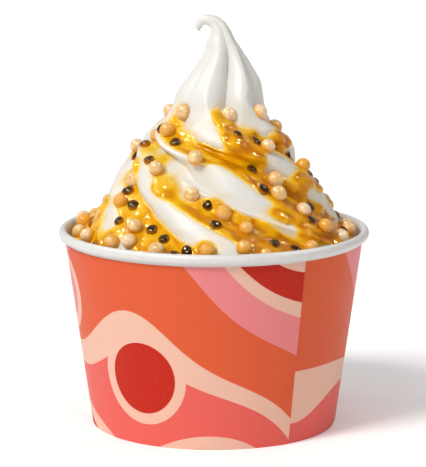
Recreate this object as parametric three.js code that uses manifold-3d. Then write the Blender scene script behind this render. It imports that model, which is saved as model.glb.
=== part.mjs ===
// Frozen yogurt cup: a rolled-rim paper tub filled with a six-rib soft-serve
// swirl, topped with fruit pulp, seeds and crisp pearls. Millimetres, +Z up,
// front face towards -Y, cup standing on z = 0. Azimuths are degrees from the
// front, growing towards +X.
import * as THREE from 'three';
import { mergeVertices } from 'three/addons/utils/BufferGeometryUtils.js';
import Module from 'manifold-3d';

const wasm = await Module();
wasm.setup();

// ---------------------------------------------------------------- driving sizes
const CUP = {
  footRadius: 44.18,      // outside of the wall at the table
  neckRadius: 53.82,      // outside of the wall just under the rolled rim
  neckHeight: 67.98,
  board: 0.6,             // paper board thickness
  beadRadius: 54.5,       // centre circle of the rolled rim
  beadHeight: 69.81,
  beadHalfWidth: 1.5,
  beadHalfDepth: 1.84,
  seamAzimuth: 36,        // side seam, to the right of the front
  seamStep: 0.35,         // the lapped edge stands proud by this much
  seamLap: 12,            // degrees over which the lap fades out
  seamGap: 0.35,          // degrees from the lapped edge to the board under it
  fold: 2.2,              // three boards and their slack at the foot
  hem: 0.5,               // the board folded up inside the foot
  hemHeight: 8,
  segments: 52,
};
const BASE = { top: 8.9, board: 0.6, skirt: 0.5, gap: 0.3, hang: 1.2, segments: 48 };
const FILL_GAP = 0.3;     // clearance between the yogurt and the board
const FILL_TOP = 64;      // below this height the yogurt is a plain plug in the tub

// Radius through the rib crests, height by height.
const CREST_RADIUS = [[64, 52.3], [66, 52.0], [68, 51.0], [70, 49.8], [72, 48.4], [76, 45.2],
  [80, 41.8], [84, 38.9], [88, 36.5], [92, 34.2], [96, 31.8], [100, 29.2], [104, 26.0],
  [108, 22.8], [112, 19.4], [116, 17.2], [120, 15.9], [124, 14.0], [128, 11.4], [132, 9.0],
  [136, 6.7], [139, 5.2]];
// Azimuth of the leading rib, height by height: the swirl's twist.
const TWIST = [[62, 145], [66, 135], [72, 122], [80, 102], [84, 92], [88, 81], [92, 69],
  [96, 56], [100, 41], [104, 25], [108, 10], [114, -8], [120, -20], [126, -25], [133, -19],
  [141, -12]];
// The upper swirl leans a little to the right.
const AXIS_X = [[98, 0], [106, 0.8], [115, 1.6], [120, 2.2], [126, 3.3], [132, 3.6],
  [136, 3.4], [139, 2.7]];
const GROOVE_DEPTH = [[64, 0.2], [66, 0.8], [70, 3.6], [76, 5.4], [84, 6.2], [96, 6.2],
  [104, 5.4], [110, 3.8], [118, 3.4], [126, 3.3], [132, 2.3], [137, 1.1], [139, 0.6]];
// Near the tip the groove behind each rib is this share of that depth.
const TIP_GROOVES = [1.75, 1.5, 1, 1, 1, 0.25];
// Those shares come in between these heights, and a shelf falls more steeply into its valley.
const TIP = { start: 110, full: 119, shelfPower: 1.4 };
const VALLEY = [[100, 0.48], [112, 0.38], [120, 0.56]];   // where a shelf ends, of the pitch
const FACE_POWER = [[104, 2.2], [112, 1.6]];              // how fully a rib's face bulges
// Where each rib stands behind the leading one (degrees) at these heights.
const RIB_LEVELS = [64, 76, 88, 98, 107, 118, 126, 141];
const RIBS = [
  [0, 0, 1, 7.5, 0, 0, 0, 0],
  [60, 60, 62, 64, 62, 54, 65, 61],
  [124, 124, 124, 124, 124, 124, 124, 124],
  [198, 198, 198, 196, 192, 190, 190, 190],
  [246, 250, 246, 256, 250, 246, 245, 244],
  [300, 300, 305, 314, 282, 302, 302, 302],
];
// A second fold that splits the broad front face lower down: its place behind
// the leading rib, how far it lies below the crests, and its width on each side.
const FOLD_PHASE = [[64, 290], [73, 289.5], [80, 285], [86, 279], [92, 271]];
const FOLD_SINK = [[60, 0.6], [84, 0.8], [90, 3.0], [96, 9]];
const FOLD = { top: 95, depth: 6, behind: 14, before: 34, power: 2.2, round: 1.6 };
// The curled tip's rings: x, z, radius, lean and number of points.
const HOOK = [
  [2.3, 141.2, 4.15, -14, 18], [1.5, 143.7, 3.2, -32, 14], [-0.5, 145.8, 2.35, -66, 12],
  [-3.1, 146.4, 1.8, -98, 10], [-5.0, 145.2, 1.4, -140, 10], [-5.6, 143.5, 1.1, -172, 8],
];
const HOOK_POINT = [-5.4, 142.4];

// How high the pulp reaches, azimuth by azimuth.
const PULP_TOP = [[-180, 113], [-90, 113], [-63, 116], [-48, 112], [-35, 110], [-14, 113],
  [0, 118], [13, 115.5], [26, 111.5], [50, 114], [90, 112], [180, 113]];
// Places where pulp spills over a rib face: azimuth, height, reach.
const SPILLS = [[7, 114, 5], [15, 110, 5], [24, 104, 8.5], [28, 98, 6], [-9, 100, 3.5],
  [-68, 103, 3], [-63, 96, 4], [-62, 92, 4.5], [-33, 90, 3.5], [26, 79, 2.5], [47, 88, 7],
  [44, 92, 4], [66, 90, 6], [66, 106, 5], [78, 103, 4], [84, 87, 4], [98, 80, 4.5], [58, 80, 8],
  [72, 76, 8], [35, 82, 4.5], [44, 79, 4], [46, 74, 4], [52, 76, 6], [64, 72, 7], [-72, 73, 7],
  [-66, 74, 7], [-51, 72, 6], [-74, 82, 5], [-100, 76, 8], [-30, 71, 3.5], [-3, 72, 4],
  [150, 90, 8], [215, 84, 8], [120, 76, 8]];
// Places that it leaves clean: azimuth, height, reach.
const CLEAN = [[-93, 92, 6], [-84, 89, 4], [-72, 87, 2.5], [-58, 78, 3], [-12, 92.5, 7.5],
  [-30, 97, 4], [-52, 102, 3], [-84, 105, 5], [26, 118, 7], [62, 113, 6], [51, 98, 5],
  [165, 100, 8], [-140, 80, 7]];
const PULP = { rise: 2.3, sink: 0.9, ripple: 0.5, round: 3.5, behindCrest: 1, pastValley: 0.12 };

const PEARL = { radius: 2.8, step: 13, clear: 5.6, lift: 0.15, liftMore: 0.3 };
const SEED = { length: 4.6, width: 3.9, height: 2.7, step: 5.6, clear: 4.6, fromPearl: 4.5 };
const TOPPING_START = 20261;    // start of the toppings' random draws
const SHELF_TOP = 115;
const SHELF_FOOT = 69.5;

// ---------------------------------------------------------------- small helpers
const DEG = Math.PI / 180;
const clamp = (x, a = 0, b = 1) => Math.min(b, Math.max(a, x));
const mix = (a, b, t) => a + (b - a) * t;
const wrap = (d) => ((d + 180) % 360 + 360) % 360 - 180;
function smooth(a, b, x) {
  const t = clamp((x - a) / (b - a));
  return t * t * (3 - 2 * t);
}
// The larger of two depths, rounded where they meet; both gives the smaller.
const join = (a, b, round) => Math.max(a, b)
  + Math.max(0, round - Math.abs(a - b)) ** 2 / (4 * round);
const both = (a, b) => -join(-a, -b, PULP.round);
// Smooth curve through [x, y] knots that never overshoots them.
function curve(knots, x) {
  const n = knots.length;
  if (x <= knots[0][0]) return knots[0][1];
  if (x >= knots[n - 1][0]) return knots[n - 1][1];
  let i = 0;
  while (x > knots[i + 1][0]) i++;
  const rise = (j) => (knots[j + 1][1] - knots[j][1]) / (knots[j + 1][0] - knots[j][0]);
  const slope = (j) => {
    if (j === 0) return rise(0);
    if (j === n - 1) return rise(n - 2);
    const a = rise(j - 1), b = rise(j);
    return a * b <= 0 ? 0 : (2 * a * b) / (a + b);
  };
  const h = knots[i + 1][0] - knots[i][0], t = (x - knots[i][0]) / h;
  return (2 * t ** 3 - 3 * t ** 2 + 1) * knots[i][1] + (t ** 3 - 2 * t ** 2 + t) * h * slope(i)
    + (3 * t ** 2 - 2 * t ** 3) * knots[i + 1][1] + (t ** 3 - t ** 2) * h * slope(i + 1);
}

const wallRadius = (z) => CUP.footRadius
  + (CUP.neckRadius - CUP.footRadius) * z / CUP.neckHeight;
const innerRadius = (z) => wallRadius(z) - CUP.board;

// ---------------------------------------------------------------- form of the swirl
const ribOffset = (k, z) => k >= RIBS.length ? 360 + ribOffset(0, z)
  : curve(RIB_LEVELS.map((h, i) => [h, RIBS[k][i]]), z);
const ribAzimuth = (k, z) => ribOffset(k, z) + curve(TWIST, z);

// Which pair of ribs an azimuth lies between, and how far along (0..1).
function locate(azimuth, z) {
  const first = ribOffset(0, z);
  const phase = (((azimuth - curve(TWIST, z) - first) % 360) + 360) % 360;
  let k = 0;
  while (k < RIBS.length - 1 && phase >= ribOffset(k + 1, z) - first) k++;
  const lo = ribOffset(k, z) - first, hi = ribOffset(k + 1, z) - first;
  return { k, u: (phase - lo) / (hi - lo), phase: phase + first };
}

// Shelf falling from one crest into the valley, then the next rib's full face.
function groove(u, z) {
  const v = curve(VALLEY, z);
  if (u < v) {
    const eased = 0.5 - 0.5 * Math.cos(Math.PI * u / v);
    return mix(eased, (u / v) ** TIP.shelfPower, smooth(TIP.start, TIP.full, z));
  }
  return (1 - (u - v) / (1 - v)) ** curve(FACE_POWER, z);
}

function yogurtRadius(azimuth, z) {
  const { k, u, phase } = locate(azimuth, z);
  const crest = curve(CREST_RADIUS, z);
  const share = mix(1, TIP_GROOVES[k], smooth(TIP.start, TIP.full, z));
  const body = crest - curve(GROOVE_DEPTH, z) * share * groove(u, z);
  if (z > FOLD.top) return body;
  const d = wrap(phase - curve(FOLD_PHASE, z));
  const lobe = d > 0 ? 0.5 - 0.5 * Math.cos(Math.PI * clamp(d / FOLD.behind))
    : 1 - (1 - clamp(-d / FOLD.before)) ** FOLD.power;
  const fold = crest - curve(FOLD_SINK, z) - FOLD.depth * lobe;
  return Math.max(body, fold, Math.min(join(body, fold, FOLD.round), crest));
}

// Soft unevenness shared by the pulp and its edges, about -1..1.
function ripple(azimuth, z) {
  const a = azimuth * DEG;
  return (Math.sin(7 * a + 0.31 * z + 0.4) + Math.sin(11 * a - 0.47 * z + 2.1)
    + Math.sin(17 * a + 0.83 * z + 4.4) + Math.sin(23 * a - 0.59 * z + 1.2)) / 3;
}

// How far inside the pulp a point lies, in mm (negative: clean yogurt). Pulp
// lies on each shelf from its crest to the valley, in the listed spills, and
// not in the places left clean.
function pulpDepth(azimuth, z) {
  const { k, u } = locate(azimuth, z);
  const r = curve(CREST_RADIUS, z);
  const reach = (ribOffset(k + 1, z) - ribOffset(k, z)) * DEG * r * 0.6;
  const edge = 1.3 * ripple(azimuth + 40, z * 1.3);
  const away = (at, height) => Math.hypot(wrap(azimuth - at) * DEG * r, (z - height) * 1.3);
  let inside = both(u * reach - PULP.behindCrest,
    (curve(VALLEY, z) + PULP.pastValley - u) * reach + edge);
  for (const [at, height, size] of SPILLS) {
    inside = join(inside, size + 0.8 * edge - away(at, height), PULP.round);
  }
  for (const [at, height, size] of CLEAN) {
    inside = both(inside, away(at, height) - size + 0.8 * edge);
  }
  return both(inside, (curve(PULP_TOP, wrap(azimuth)) - z) * 0.8 + edge);
}
function surfaceRadius(azimuth, z) {
  const d = pulpDepth(azimuth, z);
  const pulp = PULP.rise * smooth(-0.8, 1.8, d) - PULP.sink
    + PULP.ripple * ripple(azimuth, z) * smooth(0, 2, d);
  return Math.min(yogurtRadius(azimuth, z) + Math.max(0, pulp),
    innerRadius(Math.min(z, 69)) - FILL_GAP);
}
function surfacePoint(azimuth, z) {
  const r = surfaceRadius(azimuth, z), a = azimuth * DEG;
  return new THREE.Vector3(curve(AXIS_X, z) + r * Math.sin(a), -r * Math.cos(a), z);
}
function surfaceNormal(azimuth, z) {
  const step = 1.6, turn = step / surfaceRadius(azimuth, z) / DEG;
  const across = surfacePoint(azimuth + turn, z).sub(surfacePoint(azimuth - turn, z));
  const along = surfacePoint(azimuth, z + step).sub(surfacePoint(azimuth, z - step));
  return across.cross(along).normalize();
}

// ---------------------------------------------------------------- mesh helpers
// A closed shell through a list of rings; each ring is { at: [0..1), pts }.
function loft(rings, bottom, top) {
  const pos = [], tri = [];
  const put = (p) => pos.push(p.x, p.y, p.z) / 3 - 1;
  const ids = rings.map((r) => r.pts.map(put));
  for (let i = 0; i + 1 < rings.length; i++) {
    const A = ids[i], B = ids[i + 1], a = rings[i].at, b = rings[i + 1].at;
    const next = (at, j) => j >= at.length ? Infinity : at[j + 1] ?? 1;
    let p = 0, q = 0;
    while (p < A.length || q < B.length) {
      const from = A[p % A.length], to = B[q % B.length];
      if (next(a, p) <= next(b, q)) {
        tri.push(from, A[(p + 1) % A.length], to);
        p++;
      } else {
        tri.push(from, B[(q + 1) % B.length], to);
        q++;
      }
    }
  }
  const b0 = put(bottom), t0 = put(top), first = ids[0], last = ids[ids.length - 1];
  for (let j = 0; j < first.length; j++) tri.push(b0, first[(j + 1) % first.length], first[j]);
  for (let j = 0; j < last.length; j++) tri.push(t0, last[j], last[(j + 1) % last.length]);
  return geometry(pos, tri);
}
function geometry(pos, tri) {
  const g = new THREE.BufferGeometry();
  g.setAttribute('position', new THREE.Float32BufferAttribute(pos, 3));
  g.setIndex(tri);
  return g;
}
// A profile of [radius, height] pairs turned about the upright axis.
function turned(profile, segments) {
  const g = new THREE.LatheGeometry(profile.map(([r, z]) => new THREE.Vector2(r, z)), segments);
  g.rotateX(Math.PI / 2);
  g.deleteAttribute('normal');
  g.deleteAttribute('uv');
  const merged = mergeVertices(g, 1e-4), index = merged.index.array, kept = [];
  for (let i = 0; i < index.length; i += 3) {   // the poles collapse half their faces
    const [a, b, c] = index.slice(i, i + 3);
    if (a !== b && b !== c && c !== a) kept.push(a, b, c);
  }
  merged.setIndex(kept);
  return merged;
}
function solid(g) {
  return new wasm.Manifold(new wasm.Mesh({
    numProp: 3,
    vertProperties: new Float32Array(g.attributes.position.array),
    triVerts: new Uint32Array(g.index.array),
  }));
}
function fromSolid(s) {
  const m = s.getMesh(), pos = [];
  for (let i = 0; i < m.numVert; i++) {
    for (let c = 0; c < 3; c++) pos.push(m.vertProperties[i * m.numProp + c]);
  }
  return geometry(pos, Array.from(m.triVerts));
}
function node(name, g, color, roughness) {
  g.computeVertexNormals();
  const mesh = new THREE.Mesh(g, new THREE.MeshStandardMaterial({ color, roughness, metalness: 0 }));
  mesh.name = name;
  return mesh;
}

// ---------------------------------------------------------------- the cup wall
function cupWall() {
  const out = wallRadius, { fold, hem, hemHeight } = CUP, skirtFoot = 0.9;
  const profile = [
    [out(0) - fold + 0.1, 0], [out(0) - 0.45, 0], [out(0.2) - 0.12, 0.14], [out(0.5), 0.5],
    [out(34), 34], [out(67.2), 67.2],
  ];
  const beadPoints = 10;
  for (let i = 0; i <= beadPoints; i++) {       // rolled rim, from its underside over the top
    const a = mix(-125, 215, i / beadPoints) * DEG;
    profile.push([CUP.beadRadius + CUP.beadHalfWidth * Math.cos(a),
      CUP.beadHeight + CUP.beadHalfDepth * Math.sin(a)]);
  }
  for (const z of [66.5, 34, BASE.top, skirtFoot]) profile.push([innerRadius(z), z]);
  profile.push([out(skirtFoot) - fold + hem, skirtFoot]);        // slot for the base's skirt
  profile.push([out(hemHeight) - fold + hem, hemHeight], [out(hemHeight) - fold, hemHeight]);
  profile.push([out(0.2) - fold, 0.14], profile[0]);
  return lapped(turned(profile, CUP.segments));
}
// The side seam: the outer board's edge laps over and stands proud, then fades out.
function lapped(g) {
  const p = g.attributes.position, n = CUP.segments;
  for (let i = 0; i < p.count; i++) {
    const turn = Math.atan2(p.getX(i), -p.getY(i)) / DEG, z = p.getZ(i);
    const column = Math.round(((turn + 360) % 360) / (360 / n)) % n;
    const at = column === 0 ? 0 : mix(CUP.seamGap, 360, (column - 1) / (n - 1));
    let r = Math.hypot(p.getX(i), p.getY(i));
    const facing = r > wallRadius(z) - 0.2 && z > 0.1 && z < 67.5;
    if (facing && column !== 1) {
      r += CUP.seamStep * clamp(1 - ((360 - at) % 360) / CUP.seamLap);
    }
    const a = (at + CUP.seamAzimuth) * DEG;
    p.setXYZ(i, r * Math.sin(a), -r * Math.cos(a), z);
  }
  return g;
}

// ---------------------------------------------------------------- the base disc
function cupBase() {
  const skirtOut = (z) => innerRadius(z) - BASE.gap;
  const skirtIn = (z) => skirtOut(z) - BASE.skirt;
  const { top, hang } = BASE, low = top - BASE.board;
  return turned([[0, low], [skirtIn(low), low], [skirtIn(hang), hang], [skirtOut(hang), hang],
    [skirtOut(top - 0.5), top - 0.5], [skirtOut(top) - 0.4, top], [0, top]], BASE.segments);
}

// ---------------------------------------------------------------- the swirl body
const COLUMNS = [0, 0.1, 0.23, 0.36, 0.48, 0.59, 0.73, 0.88];   // per rib
function ribbedRing(z) {
  const at = [], pts = [], level = Math.max(z, FILL_TOP);
  for (let k = 0; k < RIBS.length; k++) {
    for (const u of COLUMNS) {
      const azimuth = mix(ribAzimuth(k, level), ribAzimuth(k + 1, level), u);
      const r = innerRadius(z) - FILL_GAP, a = azimuth * DEG;
      at.push(at.length / (RIBS.length * COLUMNS.length));
      pts.push(z >= FILL_TOP ? surfacePoint(azimuth, z)
        : new THREE.Vector3(r * Math.sin(a), -r * Math.cos(a), z));
    }
  }
  return { at, pts };
}
function tipRing([x, z, r, lean, n]) {
  const at = [], pts = [], tilt = lean * DEG, start = ribAzimuth(0, 139) * DEG;
  for (let j = 0; j < n; j++) {
    const a = j / n * 2 * Math.PI + start;
    at.push(j / n);
    pts.push(new THREE.Vector3(x + r * Math.sin(a) * Math.cos(tilt), -r * Math.cos(a),
      z - r * Math.sin(a) * Math.sin(tilt)));
  }
  return { at, pts };
}
function swirlBody() {
  const foot = BASE.top + FILL_GAP, heights = [foot, 38, FILL_TOP, 66.2, 68];
  for (let z = 70; z < 118; z += 2.7) heights.push(z);
  for (let z = 118.5; z < 140; z += 3.4) heights.push(z);
  return loft([...heights.map(ribbedRing), ...HOOK.map(tipRing)],
    new THREE.Vector3(0, 0, foot), new THREE.Vector3(HOOK_POINT[0], 0, HOOK_POINT[1]));
}

// ---------------------------------------------------------------- toppings
function generator(start) {
  let state = start;
  return () => {
    state = (state * 48271) % 2147483647;
    return state / 2147483647;
  };
}
// Candidate places down every shelf and then round the rim.
function walk(rnd, step) {
  const places = [];
  for (let k = 0; k < RIBS.length; k++) {
    let z = SHELF_TOP - 3 * rnd();
    while (z > SHELF_FOOT) {
      const across = rnd(), turn = rnd(), size = rnd(), advance = rnd();
      const u = mix(0.02, curve(VALLEY, z) + 0.06, across);
      places.push({ azimuth: mix(ribAzimuth(k, z), ribAzimuth(k + 1, z), u), z, turn, size });
      const fall = Math.hypot(1, 3.1 * DEG * curve(CREST_RADIUS, z));   // path per mm of height
      z -= step * (0.7 + 0.6 * advance) / fall;
    }
  }
  for (let azimuth = 0; azimuth < 360; azimuth += step * 1.5) {
    const turn = rnd(), up = rnd(), size = rnd();
    places.push({ azimuth: azimuth + 8 * turn, z: SHELF_FOOT + 3.2 * up, turn, size });
  }
  return places;
}
// Moves what lies inside the tub's mouth in from the board.
function keepOffWall(p, r) {
  const out = Math.hypot(p.x, p.y), limit = innerRadius(66) - r - 0.45;
  if (p.z - r < 72.4 && out > limit) {
    p.x *= limit / out;
    p.y *= limit / out;
  }
  return p;
}
// Pearls first, then seeds where there is pulp, each kept apart from the others.
function toppings() {
  const rnd = generator(TOPPING_START), pearls = [], seeds = [];
  const clearOf = (p, list, gap) => list.every((q) => p.distanceTo(q.at) > gap);
  for (const { azimuth, z, turn, size } of walk(rnd, PEARL.step)) {
    const r = PEARL.radius * (0.93 + 0.14 * size), n = surfaceNormal(azimuth, z);
    const lift = r * (PEARL.lift + PEARL.liftMore * turn);
    const at = keepOffWall(surfacePoint(azimuth, z).addScaledVector(n, lift), r);
    if (clearOf(at, pearls, PEARL.clear)) pearls.push({ at, n, r });
  }
  for (const { azimuth, z, turn, size } of walk(rnd, SEED.step)) {
    const n = surfaceNormal(azimuth, z);
    const at = keepOffWall(surfacePoint(azimuth, z).addScaledVector(n, 0.15), SEED.length / 2);
    if (pulpDepth(azimuth, z) > 0.4 && clearOf(at, pearls, SEED.fromPearl)
      && clearOf(at, seeds, SEED.clear)) {
      seeds.push({ at, n, turn: turn * Math.PI, size: 0.9 + 0.2 * size });
    }
  }
  return { pearls, seeds };
}
// A rounded body with rings at the given angles from its outer pole, set on the
// surface with that pole outwards; the sunk side runs to a point.
function pebble([sx, sy, sz], around, angles, { at, n }, turn) {
  const profile = [180, ...angles, 0].map((deg) => [
    deg % 180 ? Math.sin(deg * DEG) : 0, Math.cos(deg * DEG)]);
  const g = turned(profile, around).scale(sx, sy, sz).rotateZ(turn);
  g.applyQuaternion(new THREE.Quaternion().setFromUnitVectors(new THREE.Vector3(0, 0, 1), n));
  return solid(g.translate(at.x, at.y, at.z));
}
function toppingSolids() {
  const { pearls, seeds } = toppings(), half = SEED.height / 2;
  return [
    ...pearls.map((p) => pebble([p.r, p.r, p.r], 8, [102, 50], p, p.at.z)),
    ...seeds.map((s) => pebble(
      [SEED.length / 2 * s.size, SEED.width / 2 * s.size, half], 6, [90, 45], s, s.turn)),
  ];
}

// ---------------------------------------------------------------- assembly
const part = new THREE.Group();
part.name = 'frozen_yogurt_cup';
part.add(node('cup', cupWall(), 0xee6a5c, 0.5));
part.add(node('cup_base', cupBase(), 0xf6f3ee, 0.7));
const treat = wasm.Manifold.union([solid(swirlBody()), ...toppingSolids()]).simplify(0.06);
part.add(node('frozen_yogurt', fromSolid(treat), 0xf7f4ec, 0.45));

export default part;
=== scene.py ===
# Frozen yogurt cup: a printed paper tub with a tall soft-serve swirl, fruit pulp,
# seeds and crisp pearls. Sizes are in millimetres and become metres in mesh_object.
# An azimuth is in degrees from the front (-Y), growing towards +X.
import itertools
import math

import bpy
import numpy as np
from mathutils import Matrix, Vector


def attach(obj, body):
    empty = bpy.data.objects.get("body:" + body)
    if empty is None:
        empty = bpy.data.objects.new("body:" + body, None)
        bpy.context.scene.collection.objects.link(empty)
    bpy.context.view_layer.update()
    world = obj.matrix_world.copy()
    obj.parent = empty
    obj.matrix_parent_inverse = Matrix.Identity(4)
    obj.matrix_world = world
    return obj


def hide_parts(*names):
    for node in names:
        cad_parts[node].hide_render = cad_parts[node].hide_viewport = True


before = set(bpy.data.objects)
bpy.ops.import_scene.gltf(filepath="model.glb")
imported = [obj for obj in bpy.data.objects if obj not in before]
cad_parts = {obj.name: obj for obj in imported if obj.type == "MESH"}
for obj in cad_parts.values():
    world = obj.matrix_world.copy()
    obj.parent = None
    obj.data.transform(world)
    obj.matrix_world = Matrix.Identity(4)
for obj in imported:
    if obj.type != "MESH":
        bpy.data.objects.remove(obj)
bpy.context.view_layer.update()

MM = 0.001
DEG = math.pi / 180

# ---------------------------------------------------------------- the tub's sizes
FOOT_RADIUS = 44.18       # outside of the wall at the table
NECK_RADIUS = 53.82       # outside of the wall just under the rolled rim
NECK_HEIGHT = 67.98
BOARD = 0.6
BEAD_RADIUS = 54.5        # centre circle of the rolled rim
BEAD_HEIGHT = 69.81
BEAD_HALF_WIDTH = 1.5
BEAD_HALF_DEPTH = 1.84
SEAM_AZIMUTH = 36         # side seam, to the right of the front
SEAM_STEP = 0.35          # the lapped edge stands proud by this much
SEAM_LAP = 12             # degrees over which the lap fades out
SEAM_EDGE = 0.12          # degrees over which its cut edge drops
SEAM_GAP = 0.35           # degrees from the lapped edge to the first plain column
FOLD = 2.2                # three boards and their slack at the foot
HEM = 0.5                 # the board folded up inside the foot
HEM_FOOT = 0.9
HEM_HEIGHT = 8
RIM_START = 67.5          # above this height the board is rolled
RIM_BULGE = 0.12          # by which the rim is thicker over the lap
ROOM_TOP = 69             # above this height the yogurt gets no more room
RIM_CLEAR = 72.4          # just over the rim's top
BASE_TOP = 8.9
FILL_GAP = 0.3            # clearance between the yogurt and the board

# ---------------------------------------------------------------- the swirl's sizes
# Radius through the ribs' crests, height by height.
CREST_RADIUS = [[64, 52.3], [66, 52.0], [68, 51.0], [70, 49.8], [72, 48.4], [76, 45.2],
                [80, 41.8], [84, 38.9], [88, 36.5], [92, 34.2], [96, 31.8], [100, 29.2],
                [104, 26.0], [108, 22.8], [112, 19.4], [116, 17.2], [120, 15.9], [124, 14.0],
                [128, 11.4], [132, 9.0], [136, 6.7], [139, 5.2]]
# Azimuth of the leading rib, height by height: the swirl's twist.
TWIST = [[62, 145], [66, 135], [72, 122], [80, 102], [84, 92], [88, 81], [92, 69], [96, 56],
         [100, 41], [104, 25], [108, 10], [114, -8], [120, -20], [126, -25], [133, -19],
         [141, -12]]
# The upper swirl leans a little to the right.
AXIS_X = [[98, 0], [106, 0.8], [115, 1.6], [120, 2.2], [126, 3.3], [132, 3.6], [136, 3.4],
          [139, 2.7]]
# Depth of the grooves between the ribs, height by height.
GROOVE_DEPTH = [[64, 0.2], [66, 0.8], [70, 3.6], [76, 5.4], [84, 6.2], [96, 6.2],
                [104, 5.4], [110, 3.8], [118, 3.4], [126, 3.3], [132, 2.3], [137, 1.1],
                [139, 0.6]]
# Near the tip the groove behind each rib is this share of that depth.
TIP_GROOVES = [1.75, 1.5, 1, 1, 1, 0.25]
# Where each rib stands behind the leading one (degrees) at these heights.
RIB_LEVELS = [64, 76, 88, 98, 107, 118, 126, 141]
RIBS = [
    [0, 0, 1, 7.5, 0, 0, 0, 0],
    [60, 60, 62, 64, 62, 54, 65, 61],
    [124, 124, 124, 124, 124, 124, 124, 124],
    [198, 198, 198, 196, 192, 190, 190, 190],
    [246, 250, 246, 256, 250, 246, 245, 244],
    [300, 300, 305, 314, 282, 302, 302, 302],
]
# A second fold that splits the broad front face lower down: its place behind
# the leading rib, how far it lies below the crests, and its width on each side.
FOLD_PHASE = [[64, 290], [73, 289.5], [80, 285], [86, 279], [92, 271]]
FOLD_SINK = [[60, 0.6], [84, 0.8], [90, 3.0], [96, 9]]
FOLD_TOP = 95             # it has run out at this height
FOLD_DEPTH = 6
FOLD_BEHIND = 14          # degrees over which the fold falls off on either side
FOLD_BEFORE = 34
FOLD_POWER = 2.2          # how fully its face bulges
FOLD_ROUND = 1.6          # over which it is rounded into the rib below it
TIP_START = 110           # the shares of TIP_GROOVES come in between these heights
TIP_FULL = 119
TIP_SHELF = 1.4           # near the tip a shelf falls straighter, with this power
VALLEY = [[100, 0.48], [112, 0.38], [120, 0.56]]    # where a shelf ends, of the pitch
FACE_POWER = [[104, 2.2], [112, 1.6]]               # how fully a rib's face bulges
BODY_TOP = 139            # above it the tip curls over
BODY_TOP_RADIUS = 5.2     # the last of CREST_RADIUS
# The curled tip: x, z, radius and lean of its rings, ending in a point.
HOOK = [[2.3, 141.2, 4.15, -14], [1.5, 143.7, 3.2, -32], [-0.5, 145.8, 2.35, -66],
        [-3.1, 146.4, 1.8, -98], [-5.0, 145.2, 1.4, -140], [-5.6, 143.5, 1.1, -172]]
HOOK_POINT = [-5.4, 142.4]
HOOK_END = [0.25, -176]   # radius and lean of the last ring, at the point

# ---------------------------------------------------------------- where pulp and toppings lie
# How high the pulp reaches, azimuth by azimuth.
PULP_TOP = [[-180, 113], [-90, 113], [-63, 116], [-48, 112], [-35, 110], [-14, 113], [0, 118],
            [13, 115.5], [26, 111.5], [50, 114], [90, 112], [180, 113]]
# Places where pulp spills over a rib face: azimuth, height, reach.
SPILLS = [[7, 114, 5], [15, 110, 5], [24, 104, 8.5], [28, 98, 6], [-9, 100, 3.5], [-68, 103, 3],
          [-63, 96, 4], [-62, 92, 4.5], [-33, 90, 3.5], [26, 79, 2.5], [47, 88, 7],
          [44, 92, 4], [66, 90, 6], [66, 106, 5], [78, 103, 4], [84, 87, 4], [98, 80, 4.5],
          [58, 80, 8], [72, 76, 8], [35, 82, 4.5], [44, 79, 4], [46, 74, 4], [52, 76, 6],
          [64, 72, 7], [-72, 73, 7], [-66, 74, 7], [-51, 72, 6], [-74, 82, 5],
          [-100, 76, 8], [-30, 71, 3.5], [-3, 72, 4], [150, 90, 8], [215, 84, 8],
          [120, 76, 8]]
# Places that it leaves clean: azimuth, height, reach.
CLEAN = [[-93, 92, 6], [-84, 89, 4], [-72, 87, 2.5], [-58, 78, 3], [-12, 92.5, 7.5],
         [-30, 97, 4], [-52, 102, 3], [-84, 105, 5], [26, 118, 7], [62, 113, 6],
         [51, 98, 5], [165, 100, 8], [-140, 80, 7]]
PULP_ROUND = 3.5          # over which the edges of its patches are rounded into each other
PULP_BEHIND_CREST = 1     # on a shelf the pulp starts this far behind the crest
PULP_PAST_VALLEY = 0.12   # and ends past the valley by this share of the pitch
PULP_RISE = 2.3           # its plain layer rises by this much, from a little below the skin
PULP_SINK = 0.9
PULP_RIPPLE = 0.5

PEARL_RADIUS = 2.8
PEARL_STEP = 13           # mean distance between the places tried for a pearl
PEARL_CLEAR = 5.6         # least distance between two pearls' centres
PEARL_LIFT = 0.15         # a centre lies this share of its radius above the surface
PEARL_LIFT_MORE = 0.3     # and up to this much more
SEED_LENGTH = 4.6
SEED_WIDTH = 3.9
SEED_HEIGHT = 2.7
SEED_STEP = 5.6
SEED_CLEAR = 4.6          # least distance between two seeds' centres
SEED_FROM_PEARL = 4.5     # and from a seed's centre to a pearl's
SEED_LIFT = 0.15
WALL_CLEAR = 0.45         # between a topping and the board
TOPPING_START = 20261     # start of the toppings' random draws
SHELF_TOP = 115           # heights between which toppings lie on the shelves
SHELF_FOOT = 69.5


# ---------------------------------------------------------------- small helpers
def smooth(low, high, x):
    """Eased step from 0 at low to 1 at high."""
    t = np.clip((x - low) / (high - low), 0, 1)
    return t * t * (3 - 2 * t)


def wrap(degrees):
    """The same direction between -180 and 180 degrees."""
    return (degrees + 180) % 360 - 180


def mix(a, b, t):
    return a + (b - a) * t


def between(t, h, start, start_slope, end, end_slope):
    """The cubic over a step of length h, at the share t of it, with the given ends."""
    return ((2 * t ** 3 - 3 * t ** 2 + 1) * start + (t ** 3 - 2 * t ** 2 + t) * h * start_slope
            + (3 * t ** 2 - 2 * t ** 3) * end + (t ** 3 - t ** 2) * h * end_slope)


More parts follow.
